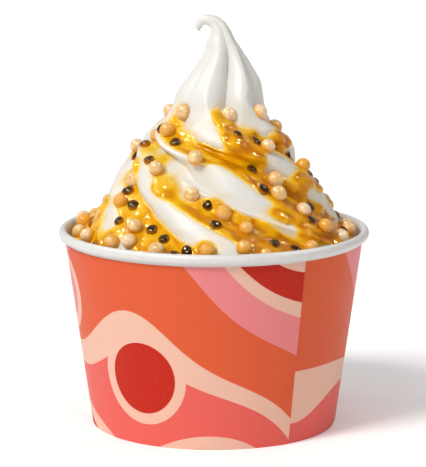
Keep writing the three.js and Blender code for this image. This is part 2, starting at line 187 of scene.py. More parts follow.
def curve(knots, x):
    """Smooth curve through [x, y] knots that never overshoots them."""
    xs, ys = np.array(knots, float).T
    rise = np.diff(ys) / np.diff(xs)
    product = rise[:-1] * rise[1:]
    total = np.where(product > 0, rise[:-1] + rise[1:], 1)
    slope = np.concatenate([rise[:1], np.where(product > 0, 2 * product / total, 0), rise[-1:]])
    x = np.clip(np.asarray(x, float), xs[0], xs[-1])
    i = np.clip(np.searchsorted(xs, x, side="right") - 1, 0, len(xs) - 2)
    h = xs[i + 1] - xs[i]
    return between((x - xs[i]) / h, h, ys[i], slope[i], ys[i + 1], slope[i + 1])


def noise(points, size, seed):
    """Smooth noise of about -1..1 at points (n, 3), with bumps of the given size."""
    table = np.random.RandomState(seed).permutation(256)
    scaled = points / size
    cell = np.floor(scaled).astype(int)
    f = scaled - cell
    f = f ** 3 * (f * (6 * f - 15) + 10)
    total = np.zeros(len(points))
    for corner in itertools.product((0, 1), repeat=3):
        x, y, z = (cell + corner).T
        value = table[(table[(table[x & 255] + y) & 255] + z) & 255] / 127.5 - 1
        total += value * np.prod(np.where(corner, f, 1 - f), axis=1)
    return total


# ---------------------------------------------------------------- form of the swirl
def wall_radius(z):
    """The board's outside radius."""
    return FOOT_RADIUS + (NECK_RADIUS - FOOT_RADIUS) * z / NECK_HEIGHT


def inner_radius(z):
    """The board's inside radius."""
    return wall_radius(z) - BOARD


def room(z):
    """The board's inside radius, which grows no further above ROOM_TOP."""
    return inner_radius(np.minimum(z, ROOM_TOP))


def rib_offset(k, z):
    """Degrees that rib k stands behind the twist; after the last rib comes the first again."""
    if k == len(RIBS):
        return 360 + rib_offset(0, z)
    return curve(list(zip(RIB_LEVELS, RIBS[k])), z)


def rib_azimuth(k, z):
    return rib_offset(k, z) + curve(TWIST, z)


def locate(azimuth, z):
    """The rib before each azimuth, how far on to the next (0..1), phase and pitch."""
    offsets = np.array([rib_offset(k, z) for k in range(len(RIBS) + 1)])
    phase = (azimuth - curve(TWIST, z) - offsets[0]) % 360 + offsets[0]
    k = np.sum(phase >= offsets[1:-1], axis=0)
    low = np.take_along_axis(offsets, k[None], 0)[0]
    pitch = np.take_along_axis(offsets, k[None] + 1, 0)[0] - low
    return k, (phase - low) / pitch, phase, pitch


def groove(u, z):
    """Shelf falling from one crest into the valley, then the next rib's full face."""
    v = curve(VALLEY, z)
    down = np.minimum(u / v, 1)
    eased = 0.5 - 0.5 * np.cos(np.pi * down)
    shelf = mix(eased, down ** TIP_SHELF, smooth(TIP_START, TIP_FULL, z))
    face = (1 - np.clip((u - v) / (1 - v), 0, 1)) ** curve(FACE_POWER, z)
    return np.where(u < v, shelf, face)


def join(a, b, rounding):
    """The larger of two depths, rounded where they meet."""
    return np.maximum(a, b) + np.maximum(0, rounding - np.abs(a - b)) ** 2 / (4 * rounding)


def yogurt_radius(azimuth, z):
    """The clean yogurt's radius about its axis."""
    k, u, phase, _ = locate(azimuth, z)
    crest = curve(CREST_RADIUS, z)
    share = mix(1, np.array(TIP_GROOVES)[k], smooth(TIP_START, TIP_FULL, z))
    body = crest - curve(GROOVE_DEPTH, z) * share * groove(u, z)
    d = wrap(phase - curve(FOLD_PHASE, z))
    behind = 0.5 - 0.5 * np.cos(np.pi * np.clip(d / FOLD_BEHIND, 0, 1))
    before = 1 - (1 - np.clip(-d / FOLD_BEFORE, 0, 1)) ** FOLD_POWER
    lobe = np.where(d > 0, behind, before)
    fold = crest - curve(FOLD_SINK, z) - FOLD_DEPTH * lobe
    joined = np.minimum(join(body, fold, FOLD_ROUND), crest)
    return np.where(z > FOLD_TOP, body, np.maximum(joined, np.maximum(body, fold)))


def ripple(azimuth, z):
    """Soft unevenness shared by the pulp and its edges, about -1..1."""
    a = azimuth * DEG
    return (np.sin(7 * a + 0.31 * z + 0.4) + np.sin(11 * a - 0.47 * z + 2.1)
            + np.sin(17 * a + 0.83 * z + 4.4) + np.sin(23 * a - 0.59 * z + 1.2)) / 3


def both(a, b):
    """The smaller of two depths, rounded where they meet."""
    return -join(-a, -b, PULP_ROUND)


def pulp_depth(azimuth, z):
    """How far inside the pulp a point lies, in mm (negative: clean yogurt)."""
    _, u, _, pitch = locate(azimuth, z)
    r = curve(CREST_RADIUS, z)
    reach = pitch * DEG * r * 0.6                 # depth in mm that a whole pitch gives
    edge = 1.3 * ripple(azimuth + 40, z * 1.3)    # moves the patches' edges in and out

    def away(at, height):
        """Distance from a place, in patches a little flatter than round."""
        return np.hypot(wrap(azimuth - at) * DEG * r, (z - height) * 1.3)

    past_valley = curve(VALLEY, z) + PULP_PAST_VALLEY - u
    inside = both(u * reach - PULP_BEHIND_CREST, past_valley * reach + edge)
    for at, height, size in SPILLS:
        inside = join(inside, size + 0.8 * edge - away(at, height), PULP_ROUND)
    for at, height, size in CLEAN:
        inside = both(inside, away(at, height) - size + 0.8 * edge)
    return both(inside, (curve(PULP_TOP, wrap(azimuth)) - z) * 0.8 + edge)


def covered_radius(azimuth, z):
    """The radius with the pulp's plain layer on it: what the toppings are set on."""
    d = pulp_depth(azimuth, z)
    pulp = (PULP_RISE * smooth(-0.8, 1.8, d) - PULP_SINK
            + PULP_RIPPLE * ripple(azimuth, z) * smooth(0, 2, d))
    return np.minimum(yogurt_radius(azimuth, z) + np.maximum(0, pulp), room(z) - FILL_GAP)


def on_axis(azimuth, z, r):
    """Points at radius r about the swirl's leaning axis, as an (n, 3) array."""
    a = azimuth * DEG
    return np.stack([curve(AXIS_X, z) + r * np.sin(a), -r * np.cos(a), z + 0 * a], axis=-1)


def covered_point(azimuth, z):
    return on_axis(azimuth, z, covered_radius(azimuth, z))


def covered_normal(azimuth, z):
    """The direction straight out of the covered surface."""
    step = 1.6
    turn = step / covered_radius(azimuth, z) / DEG
    across = covered_point(azimuth + turn, z) - covered_point(azimuth - turn, z)
    along = covered_point(azimuth, z + step) - covered_point(azimuth, z - step)
    n = np.cross(across, along)
    return n / np.linalg.norm(n, axis=-1, keepdims=True)


# ---------------------------------------------------------------- mesh helpers
def mesh_object(name, points, faces, materials):
    """A smoothly shaded mesh object from points in millimetres."""
    mesh = bpy.data.meshes.new(name)
    mesh.from_pydata((np.asarray(points) * MM).tolist(), [], faces)
    mesh.validate()
    mesh.update()
    mesh.shade_smooth()
    obj = bpy.data.objects.new(name, mesh)
    bpy.context.scene.collection.objects.link(obj)
    for material in materials:
        mesh.materials.append(material)
    return obj


def attribute(obj, name, values):
    """Stores one number for each vertex, for a material to read."""
    layer = obj.data.attributes.new(name, "FLOAT", "POINT")
    layer.data.foreach_set("value", np.asarray(values, np.float32))


def grid_faces(rows, columns):
    """Quads of a grid whose columns close on themselves, facing outwards."""
    j = np.arange(columns)
    nxt = (j + 1) % columns
    faces = []
    for i in range(rows - 1):
        a = i * columns
        b = a + columns
        faces += np.stack([a + j, a + nxt, b + nxt, b + j], axis=1).tolist()
    return faces


def cube_ball(n):
    """A unit ball made of six n by n grids, welded: points and quads."""
    index, points, quads = {}, [], []

    def corner(axis, side, i, j):
        p = [0.0, 0.0, 0.0]
        p[axis] = side
        p[(axis + 1) % 3] = math.tan((i / n - 0.5) * math.pi / 2)
        p[(axis + 2) % 3] = math.tan((j / n - 0.5) * math.pi / 2)
        length = math.sqrt(sum(c * c for c in p))
        key = tuple(round(c / length, 6) for c in p)
        if key not in index:
            index[key] = len(points)
            points.append([c / length for c in p])
        return index[key]

    for axis, side in itertools.product(range(3), (-1, 1)):
        for i, j in itertools.product(range(n), range(n)):
            quad = [corner(axis, side, i + a, j + b) for a, b in ((0, 0), (1, 0), (1, 1), (0, 1))]
            quads.append(quad if side > 0 else quad[::-1])
    return np.array(points), np.array(quads)


# ---------------------------------------------------------------- material helpers
def rgb(red, green, blue):
    """A colour given as it looks on a screen, 0 to 255, as the shader's own numbers."""
    def linear(c):
        c /= 255
        return c / 12.92 if c <= 0.04045 else ((c + 0.055) / 1.055) ** 2.4
    return (linear(red), linear(green), linear(blue), 1.0)


class Look:
    """A material and short ways to add its nodes. A value may be a number or a socket."""

    def __init__(self, name, **inputs):
        self.material = bpy.data.materials.new(name)
        self.material.use_nodes = True
        self.tree = self.material.node_tree
        self.shader = self.tree.nodes["Principled BSDF"]
        for key, value in inputs.items():
            self.shader.inputs[key.replace("_", " ")].default_value = value

    def put(self, socket, value):
        """Links a socket to the input, or sets its number or colour."""
        if isinstance(value, bpy.types.NodeSocket):
            self.tree.links.new(value, socket)
        else:
            socket.default_value = value

    def node(self, kind, *values, **settings):
        """A new node with values for its first inputs."""
        new = self.tree.nodes.new("ShaderNode" + kind)
        for key, value in settings.items():
            setattr(new, key, value)
        for socket, value in zip(new.inputs, values):
            self.put(socket, value)
        return new

    def math(self, operation, *values):
        return self.node("Math", *values, operation=operation).outputs[0]

    def spread(self, value, low, high, new_low=0.0, new_high=1.0):
        """The value moved from the range low..high to the new one, and held within it."""
        return self.node("MapRange", value, low, high, new_low, new_high).outputs[0]

    def blend(self, factor, a, b):
        """Colour a where the factor is 0 and b where it is 1."""
        new = self.node("Mix", data_type="RGBA")
        self.put(new.inputs[0], factor)
        self.put(new.inputs[6], a)
        self.put(new.inputs[7], b)
        return new.outputs[2]

    def place(self):
        """Position on the object, in metres."""
        return self.node("TexCoord").outputs["Object"]

    def mottle(self, size, detail=2.0, roughness=0.5, distortion=0.0, stretch=None):
        """Noise of 0..1 with blotches of about the given size in millimetres."""
        where = self.place()
        if stretch:
            where = self.node("VectorMath", where, stretch, operation="MULTIPLY").outputs[0]
        new = self.node("TexNoise", noise_dimensions="3D")
        self.put(new.inputs["Vector"], where)
        new.inputs["Scale"].default_value = 1 / (size * MM)
        new.inputs["Detail"].default_value = detail
        new.inputs["Roughness"].default_value = roughness
        new.inputs["Distortion"].default_value = distortion
        return new.outputs[0]

    def cells(self, size):
        """Distance from the middle of cells of about the given size in millimetres."""
        new = self.node("TexVoronoi")
        self.put(new.inputs["Vector"], self.place())
        new.inputs["Scale"].default_value = 1 / (size * MM)
        return new.outputs["Distance"]

    def stored(self, name):
        """A number kept for each vertex by attribute."""
        return self.node("Attribute", attribute_name=name).outputs["Fac"]

    def ramp(self, factor, stops, interpolation="LINEAR"):
        """Colours by position: stops are (position, colour)."""
        new = self.node("ValToRGB", factor)
        ramp = new.color_ramp
        ramp.interpolation = interpolation
        while len(ramp.elements) < len(stops):
            ramp.elements.new(1.0)
        for element, (position, colour) in zip(ramp.elements, stops):
            element.position = position
            element.color = colour
        return new.outputs[0]

    def bump(self, height, distance_mm, strength=1.0):
        new = self.node("Bump")
        self.put(new.inputs["Height"], height)
        new.inputs["Distance"].default_value = distance_mm * MM
        new.inputs["Strength"].default_value = strength
        self.tree.links.new(new.outputs[0], self.shader.inputs["Normal"])

    def colour(self, value):
        self.put(self.shader.inputs["Base Color"], value)

    def rough(self, value):
        self.put(self.shader.inputs["Roughness"], value)


# ---------------------------------------------------------------- materials
# the tub
PEACH = rgb(226, 179, 158)
CORAL = rgb(220, 92, 82)
ORANGE = rgb(213, 87, 47)
PINK = rgb(224, 126, 128)
VERMILION = rgb(184, 30, 2)
WHITE = rgb(255, 255, 255)
WHITE_CARD = rgb(215, 214, 212)
GREY_CARD = rgb(209, 208, 205)
# the yogurt
CREAM_LOW = rgb(217, 215, 209)
CREAM_HIGH = rgb(222, 220, 215)
CREAM_STAINED = rgb(230, 194, 116)
# the pulp
GEL_PALE = rgb(246, 216, 158)
GEL_YELLOW = rgb(240, 190, 66)
GEL_GOLD = rgb(234, 173, 2)
GEL_AMBER = rgb(208, 134, 0)
GEL_DEEP = rgb(178, 94, 0)
# the seeds
SEED_DARK = rgb(30, 15, 0)
SEED_BROWN = rgb(58, 33, 0)
SEED_LIGHT = rgb(92, 56, 0)
SEED_IN_GEL = rgb(176, 104, 6)
# the pearls
CRUST_DARK = rgb(210, 160, 90)
CRUST_GOLD = rgb(228, 187, 121)
CRUST_LIGHT = rgb(240, 209, 157)
CRUST_PALE = rgb(238, 214, 184)
CRUST_PIT = rgb(188, 138, 70)
# wet gel on a pearl, and at its bottom also a painted reflection of the amber pulp
CRUST_WET_AND_REFLECTED = rgb(226, 158, 40)
# the floor
FLOOR_LOW = rgb(250, 250, 250)
FLOOR_HIGH = rgb(252, 252, 252)


def wavy_bands(look, arc, height):
    """Broad bands that climb round the tub and wave."""
    slope = 0.42
    period = 108.0
    # length along the arc, turn with height, phase and size
    waves = [(118.0, 0.022, 2.4, 15.0), (83.0, -0.040, 0.9, 5.0)]
    bands = [(0.00, CORAL), (0.17, PEACH), (0.26, ORANGE), (0.55, PINK), (0.73, PEACH),
             (0.80, VERMILION), (0.93, PEACH)]
    level = look.math("MULTIPLY_ADD", arc, slope, height)
    for length, turn, phase, size in waves:
        angle = look.math("MULTIPLY_ADD", arc, 2 * math.pi / length, phase)
        angle = look.math("MULTIPLY_ADD", height, turn, angle)
        swing = look.math("MULTIPLY", look.math("SINE", angle), size)
        level = look.math("ADD", level, swing)
    share = look.math("FRACT", look.math("DIVIDE", level, period))
    return look.ramp(share, bands, "CONSTANT")


def ringed_discs(look, arc, height, colour):
    """Discs laid over the colour, with a ring round each."""
    ring_width = 4.0
    # arc, height, radius, colour and ring's colour
    discs = [(250, 25, 13, VERMILION, PEACH), (205, 50, 10, PINK, PEACH),
             (60, 30, 12, PINK, PEACH), (130, 42, 13, VERMILION, PEACH)]
    for at_arc, at_height, radius, tint, ring in discs:
        across = look.math("SUBTRACT", arc, float(at_arc))
        along = look.math("SUBTRACT", height, float(at_height))
        away = look.math("SQRT", look.math("ADD", look.math("MULTIPLY", across, across),
                                           look.math("MULTIPLY", along, along)))
        colour = look.blend(look.math("LESS_THAN", away, radius + ring_width), colour, ring)
        colour = look.blend(look.math("LESS_THAN", away, float(radius)), colour, tint)
    return colour


def printed_card():
    """Satin-varnished board with broad wavy bands and discs in warm colours."""
    look = Look("printed_card", Specular_IOR_Level=0.15)
    x, y, z = look.node("SeparateXYZ", look.place()).outputs
    height = look.math("MULTIPLY", z, 1 / MM)
    azimuth = look.math("ARCTAN2", x, look.math("MULTIPLY", y, -1.0))
    turn = look.math("DIVIDE", azimuth, 2 * math.pi)
    from_seam = look.math("FRACT", look.math("ADD", turn, 1 - SEAM_AZIMUTH / 360))
    mean_radius = (FOOT_RADIUS + NECK_RADIUS) / 2
    arc = look.math("MULTIPLY", from_seam, 2 * math.pi * mean_radius)
    colour = ringed_discs(look, arc, height, wavy_bands(look, arc, height))
    grain = look.mottle(0.9, detail=3.0)
    look.colour(look.blend(look.spread(grain, 0.3, 0.7, 0.0, 0.01), colour, WHITE))
    look.rough(look.spread(look.mottle(9.0), 0.3, 0.7, 0.42, 0.5))
    look.bump(grain, 0.02, 0.1)
    return look.material


def white_card():
    """White board with a faint fibre."""
    look = Look("white_card", Subsurface_Weight=0.15, Subsurface_Scale=0.001)
    fibre = look.mottle(1.6, detail=4.0, stretch=(1.0, 1.0, 0.5))
    look.colour(look.ramp(fibre, [(0.3, GREY_CARD), (0.7, WHITE_CARD)]))
    look.rough(look.spread(look.mottle(6.0), 0.3, 0.7, 0.4, 0.5))
    look.bump(fibre, 0.02, 0.5)
    return look.material


def yogurt():
    """Soft-serve yogurt: nearly white, slightly translucent, tinted beside the pulp."""
    look = Look("yogurt", Subsurface_Weight=0.3, Subsurface_Scale=0.0015,
                Subsurface_Radius=(1.0, 0.8, 0.6), Specular_IOR_Level=0.35)
    clean = look.ramp(look.mottle(14.0), [(0.3, CREAM_LOW), (0.7, CREAM_HIGH)])
    look.colour(look.blend(look.stored("stain"), clean, CREAM_STAINED))
    look.rough(look.spread(look.mottle(5.0), 0.3, 0.7, 0.36, 0.5))
    fine = look.mottle(1.4, detail=4.0, roughness=0.6)
    look.bump(fine, 0.08, 0.5)
    return look.material


def fruit_pulp():
    """Wet fruit gel, paler where thin; painted shade makes its creases and right side deep amber.
    """
    look = Look("fruit_pulp", Subsurface_Weight=0.6, Subsurface_Scale=0.002,
                Subsurface_Radius=(1.0, 0.55, 0.12), Specular_IOR_Level=0.36,
                Specular_Tint=(1.0, 0.85, 0.35, 1.0))
    fibres = look.mottle(3.2, detail=2.0, distortion=0.6)
    # the stored tone carries painted shade in the creases and on the right side, and a painted
    # highlight on the lumps
    level = look.math("ADD", look.stored("tone"), look.spread(fibres, 0.3, 0.7, -0.07, 0.07))
    look.colour(look.ramp(level, [(0.0, GEL_PALE), (0.22, GEL_YELLOW), (0.48, GEL_GOLD),
                                  (0.75, GEL_AMBER), (1.0, GEL_DEEP)]))
    look.rough(look.spread(fibres, 0.3, 0.7, 0.05, 0.1))
    look.bump(look.mottle(1.5, detail=1.5), 0.35, 0.55)
    return look.material


def seed_shell():
    """Dark wet seeds with fine dimples, amber where the gel laps over them."""
    look = Look("seeds", Specular_IOR_Level=0.3, Specular_Tint=(1.0, 0.85, 0.5, 1.0))
    dimples = look.cells(0.55)
    tone = look.mottle(2.2, detail=2.0)
    dark = look.ramp(tone, [(0.35, SEED_DARK), (0.6, SEED_BROWN), (0.75, SEED_LIGHT)])
    look.colour(look.blend(look.stored("gel"), dark, SEED_IN_GEL))
    look.rough(look.spread(tone, 0.3, 0.7, 0.06, 0.14))
    look.bump(dimples, 0.06, 0.4)
    return look.material


def pearl_shell():
    """Crisp golden pearls with pits, stained amber where pulp wets them; at the bottom also a
    painted reflection.
    """
    look = Look("crisp_pearls", Subsurface_Weight=0.2, Subsurface_Scale=0.0012,
                Subsurface_Radius=(1.0, 0.6, 0.35), Specular_IOR_Level=0.38)
    blotch = look.mottle(2.4, detail=3.0)
    dry = look.ramp(blotch, [(0.3, CRUST_DARK), (0.5, CRUST_GOLD), (0.7, CRUST_LIGHT)])
    dry = look.blend(look.stored("pale"), dry, CRUST_PALE)
    pits = look.spread(look.cells(1.1), 0.1, 0.26)
    dry = look.blend(pits, CRUST_PIT, dry)
    wet = look.stored("wet")
    look.colour(look.blend(wet, dry, CRUST_WET_AND_REFLECTED))
    look.rough(look.spread(wet, 0.0, 1.0, 0.19, 0.05))
    height = look.math("ADD", pits, look.mottle(0.7, detail=2.0))
    look.bump(height, 0.1, 0.5)
    return look.material


def floor_look():
    """A plain pale floor, with slow changes of tone that hardly show."""
    look = Look("studio_floor", Roughness=0.9, Emission_Strength=0.1)
    tone = look.mottle(300.0)
    look.colour(look.ramp(tone, [(0.3, FLOOR_LOW), (0.7, FLOOR_HIGH)]))
    return look.material


# ---------------------------------------------------------------- the paper tub
WALL_COLUMNS = 240
WALL_ROWS = 20
BEAD_POINTS = 28


def tub_profile():
    """The board's closed section: [radius, height, is printed]."""
    out = wall_radius
    # the rounded foot, then the printed wall
    profile = [[out(0) - FOLD + 0.1, 0, 0], [out(0) - 0.45, 0, 1], [out(0) - 0.24, 0.03, 1],
               [out(0.2) - 0.08, 0.14, 1], [out(0.5), 0.5, 1]]
    profile += [[out(z), z, 1] for z in np.linspace(0.5, 67.2, WALL_ROWS)[1:]]
    # the rolled rim, from its underside over the top
    for i in range(BEAD_POINTS + 1):
        a = mix(-125, 215, i / BEAD_POINTS) * DEG
        profile.append([BEAD_RADIUS + BEAD_HALF_WIDTH * math.cos(a),
                        BEAD_HEIGHT + BEAD_HALF_DEPTH * math.sin(a), 0])
    # down the inside, through the slot for the base's skirt, and round the hem
    profile += [[inner_radius(z), z, 0] for z in (66.5, 50, 34, BASE_TOP, HEM_FOOT)]
    profile += [[out(HEM_FOOT) - FOLD + HEM, HEM_FOOT, 0],
                [out(HEM_HEIGHT) - FOLD + HEM, HEM_HEIGHT, 0],
                [out(HEM_HEIGHT) - FOLD, HEM_HEIGHT, 0], [out(0.2) - FOLD, 0.14, 0]]
    return profile


def tub_wall(card, rim):
    """The side wall with its lapped seam, rolled rim and hem, as one closed sheet."""
    profile = tub_profile()
    turns = np.linspace(SEAM_GAP, 360, WALL_COLUMNS + 1)[:-1]
    turns = np.concatenate([[0.0, SEAM_EDGE], turns])
    a = (turns + SEAM_AZIMUTH) * DEG
    lap = np.clip(1 - ((360 - turns) % 360) / SEAM_LAP, 0, 1)
    lap[1] = 0                                    # the cut edge drops to the board below
    rim_bulge = RIM_BULGE * np.exp(-((wrap(turns + 4) / 5) ** 2))
    points = []
    for r, z, _ in profile:
        radius = r + 0 * turns
        if r > wall_radius(z) - 0.2 and 0.1 < z < RIM_START:
            radius = r + SEAM_STEP * lap
        if z > RIM_START and r > BEAD_RADIUS - 1.2:
            radius = r + rim_bulge
        points.append(np.stack([radius * np.sin(a), -radius * np.cos(a), z + 0 * a], axis=1))
    columns = len(turns)
    points = np.concatenate(points)
    faces = grid_faces(len(profile), columns)
    last = (len(profile) - 1) * columns
    faces += [[last + j, last + (j + 1) % columns, (j + 1) % columns, j] for j in range(columns)]
    obj = mesh_object("tub_wall", points, faces, [card, rim])
    # the print ends at the rim and the foot, and the seam's cut edge is bare
    for i, face in enumerate(obj.data.polygons):
        row, column = divmod(i, columns)
        printed = profile[row][2] and profile[min(row + 1, len(profile) - 1)][2]
        face.material_index = 0 if printed and column != 0 else 1
    obj.data.set_sharp_from_angle(angle=35 * DEG)
    return obj


# ---------------------------------------------------------------- the yogurt swirl
COLUMNS_PER_RIB = 64
SWIRL_ROW = 0.5
TIP_RINGS = 44
FILL_TOP = 64             # below this height the swirl is a plain plug in the tub
PLUG_LEVELS = [38, 58, 62]


def rib_columns(z, per_rib):
    """Azimuths at height z that follow the ribs, per_rib to each."""
    u = np.arange(per_rib) / per_rib
    edges = [rib_azimuth(k, z) for k in range(len(RIBS) + 1)]
    return np.concatenate([mix(a, b, u) for a, b in zip(edges[:-1], edges[1:])])


def yogurt_skin(azimuth, z):
    """The clean yogurt with its slow unevenness."""
    r = yogurt_radius(azimuth, z)
    spots = on_axis(azimuth, z, r)
    broad = 0.16 * noise(spots * [1, 1, 1.6], 6.0, 11)
    fine = 0.07 * noise(spots, 2.6, 12)
    return np.minimum(r + broad + fine, room(z) - FILL_GAP)


def yogurt_swirl(look):
    """The plug in the tub, the ribbed swirl and its curled tip, in one closed skin."""
    rows = []
    for z in [BASE_TOP + FILL_GAP] + PLUG_LEVELS:
        azimuth = rib_columns(FILL_TOP, COLUMNS_PER_RIB)
        rows.append(on_axis(azimuth, z + 0 * azimuth, inner_radius(z) - FILL_GAP + 0 * azimuth))
    for z in np.arange(FILL_TOP, BODY_TOP + 0.01, SWIRL_ROW):
        azimuth = rib_columns(z, COLUMNS_PER_RIB)
        rows.append(on_axis(azimuth, z + 0 * azimuth, yogurt_skin(azimuth, z + 0 * azimuth)))
    rows += tip_rows(rib_columns(BODY_TOP, COLUMNS_PER_RIB))
    columns = len(rows[0])
    ends = [[0, 0, BASE_TOP + FILL_GAP], [HOOK_POINT[0], 0, HOOK_POINT[1]]]
    points = np.concatenate(rows + [ends])
    faces = grid_faces(len(rows), columns)
    bottom, point = len(points) - 2, len(points) - 1
    top = (len(rows) - 1) * columns
    for j in range(columns):
        nxt = (j + 1) % columns
        faces.append([bottom, nxt, j])
        faces.append([point, top + j, top + nxt])
    obj = mesh_object("yogurt_swirl", points, faces, [look])
    azimuth = np.degrees(np.arctan2(points[:, 0] - curve(AXIS_X, points[:, 2]), -points[:, 1]))
    depth = pulp_depth(azimuth, np.clip(points[:, 2], FILL_TOP, BODY_TOP))
    # a faint tint some way round the pulp, a strong one close to it, none near the tip
    stain = 0.14 * smooth(-7, -0.5, depth) + 0.64 * smooth(-2.4, 0.8, depth) ** 2
    attribute(obj, "stain", stain * smooth(125, 117, points[:, 2]))
    return obj


def tip_rows(azimuth):
    """Rings round the curled tip, from above the body's last ring to the point."""
    body = [[curve(AXIS_X, z), z, curve(CREST_RADIUS, z), 0] for z in (BODY_TOP - 0.5, BODY_TOP)]
    stations = np.array(body + HOOK + [HOOK_POINT + HOOK_END], float)
    lengths = np.hypot(np.diff(stations[:, 0]), np.diff(stations[:, 1]))
    at = np.concatenate([[0], np.cumsum(lengths)])
    a = azimuth * DEG
    # the last ring's ribs fade out along the tip
    relief = (yogurt_radius(azimuth, BODY_TOP + 0 * azimuth) - BODY_TOP_RADIUS) / BODY_TOP_RADIUS
    rows = []
    for s in np.linspace(at[1], at[-1], TIP_RINGS)[1:]:
        x, z, r, lean = (along_tip(at, stations[:, c], s) for c in range(4))
        t = lean * DEG
        ring = r * (1 + relief * (at[-1] - s) / (at[-1] - at[1]))
        rows.append(np.stack([x + ring * np.sin(a) * math.cos(t), -ring * np.cos(a),
                              z - ring * np.sin(a) * math.sin(t)], axis=1))
    return rows


def along_tip(at, values, s):
    """The value at position s of a smooth curve through the values at the positions at."""
    slopes = np.gradient(values, at)
    i = int(np.clip(np.searchsorted(at, s) - 1, 0, len(at) - 2))
    h = at[i + 1] - at[i]
    return between((s - at[i]) / h, h, values[i], slopes[i], values[i + 1], slopes[i + 1])


# ---------------------------------------------------------------- toppings
PEARL_GRID = 15           # quads along each side of a ball's six faces
SEED_GRID = 9


def generator(start):
    """An endless series of draws between 0 and 1, the same for the same start."""
    state = start
    while True:
        state = state * 48271 % 2147483647
        yield state / 2147483647


def walk(draw, step):
    """Candidate places down every shelf and round the rim: azimuth, height, turn, size."""
    places = []
    for k in range(len(RIBS)):
        z = SHELF_TOP - 3 * next(draw)
        while z > SHELF_FOOT:
            across, turn, size, advance = (next(draw) for _ in range(4))
            # anywhere from just behind the crest to just past the valley
            u = mix(0.02, float(curve(VALLEY, z)) + 0.06, across)
            azimuth = mix(float(rib_azimuth(k, z)), float(rib_azimuth(k + 1, z)), u)
            places.append([azimuth, z, turn, size])
            # a shelf turns by some 3.1 degrees for each mm that it falls
            fall = math.hypot(1, 3.1 * DEG * float(curve(CREST_RADIUS, z)))
            z -= step * (0.7 + 0.6 * advance) / fall
    azimuth = 0
    while azimuth < 360:
        turn, rise, size = (next(draw) for _ in range(3))
        places.append([azimuth + 8 * turn, SHELF_FOOT + 3.2 * rise, turn, size])
        azimuth += step * 1.5
    return np.array(places).T


def keep_off_wall(p, r):
    """Moves a topping that reaches below the rim's top inwards, clear of the board."""
    if p[2] - r < RIM_CLEAR:
        mouth = inner_radius(66)
        limit = mouth - r - WALL_CLEAR
        out = math.hypot(p[0], p[1])
        if out > limit:
            p[:2] *= limit / out
    return p


def place_toppings():
    """Pearls first, then seeds where there is pulp, each kept apart from the others."""
    draw = generator(TOPPING_START)
    pearls, seeds = [], []
    azimuth, z, turn, size = walk(draw, PEARL_STEP)
    spots, normals = covered_point(azimuth, z), covered_normal(azimuth, z)
    for spot, n, t, s in zip(spots, normals, turn, size):
        r = PEARL_RADIUS * (0.93 + 0.14 * s)
        p = keep_off_wall(spot + n * r * (PEARL_LIFT + PEARL_LIFT_MORE * t), r)
        if all(np.linalg.norm(p - q["at"]) > PEARL_CLEAR for q in pearls):
            pearls.append({"at": p, "n": n, "r": r})
    azimuth, z, turn, size = walk(draw, SEED_STEP)
    spots, normals = covered_point(azimuth, z), covered_normal(azimuth, z)
    wet = pulp_depth(azimuth, z)
    for spot, n, t, s, depth in zip(spots, normals, turn, size, wet):
        if depth < 0.4:                           # outside the pulp
            continue
        p = keep_off_wall(spot + n * SEED_LIFT, SEED_LENGTH / 2)
        free = all(np.linalg.norm(p - q["at"]) > SEED_FROM_PEARL for q in pearls)
        if free and all(np.linalg.norm(p - q["at"]) > SEED_CLEAR for q in seeds):
            seeds.append({"at": p, "n": n, "turn": t * math.pi, "size": 0.9 + 0.2 * s})
    return pearls, seeds


def scatter(name, ball, items, shape, look):
    """Joins one shaped ball for each item; shape gives its points and extra values."""
    points, quads = ball
    all_points, all_quads, values = [], [], []
    for i, item in enumerate(items):
        shaped, value = shape(i, item, points)
        all_points.append(shaped)
        values.append(value)
        all_quads.append(quads + i * len(points))
    obj = mesh_object(name, np.concatenate(all_points), np.concatenate(all_quads).tolist(), [look])
    return obj, np.concatenate(values)


def crisp_pearls(pearls, look):
    """Slightly lumpy balls with shallow pits, wet at the bottom (also a painted reflection) and
    some all over.
    """
    dipped = 0.6                                  # share that is wet at the bottom only
    rand = np.random.RandomState(7)

    def shape(i, pearl, ball):
        pits = 1 - np.abs(noise(ball * 2.3 + i * 7.7, 0.6, 31))
        lumps = noise(ball + i * 3.1, 0.8, 32)
        r = pearl["r"] * (1 + 0.012 * lumps - 0.022 * smooth(0.86, 1.0, pits))
        points = pearl["at"] + ball * r[:, None]
        height = ball @ pearl["n"]
        coat, pale = rand.random_sample(2)
        # the amber bottom is partly wet gel and partly a painted reflection of the pulp below
        wet = smooth(0.45, -0.25, height) if coat < dipped else smooth(2.1, 0.3, height)
        wet = np.clip(wet + 0.25 * noise(ball + i, 0.5, 33) * (wet > 0.02), 0, 1)
        return points, np.stack([wet, np.full(len(ball), 0.8 * pale ** 2)], axis=1)

    obj, values = scatter("crisp_pearls", cube_ball(PEARL_GRID), pearls, shape, look)
    attribute(obj, "wet", values[:, 0])
    attribute(obj, "pale", values[:, 1])
    return obj


def seed_pieces(seeds, look):
    """Flat egg-shaped seeds that lie on the surface, with gel lapping up their sides."""
    def shape(i, seed, ball):
        x, y, z = ball.T
        narrow = 1 - 0.22 * x                     # one end is blunter
        body = np.stack([x * SEED_LENGTH / 2 * seed["size"],
                         y * narrow * SEED_WIDTH / 2 * seed["size"],
                         z * narrow * SEED_HEIGHT / 2], axis=1)
        body *= 1 + 0.02 * noise(ball + i * 5.3, 0.5, 41)[:, None]
        c, s = math.cos(seed["turn"]), math.sin(seed["turn"])
        body = np.stack([c * body[:, 0] - s * body[:, 1], s * body[:, 0] + c * body[:, 1],
                         body[:, 2]], axis=1)
        turn = Vector((0, 0, 1)).rotation_difference(Vector(seed["n"])).to_matrix()
        gel = smooth(0.75, 0.15, z + 0.35 * noise(ball + i * 2.9, 0.7, 42))
        return seed["at"] + body @ np.array(turn).T, gel

    obj, gel = scatter("seeds", cube_ball(SEED_GRID), seeds, shape, look)
    attribute(obj, "gel", gel)
    return obj


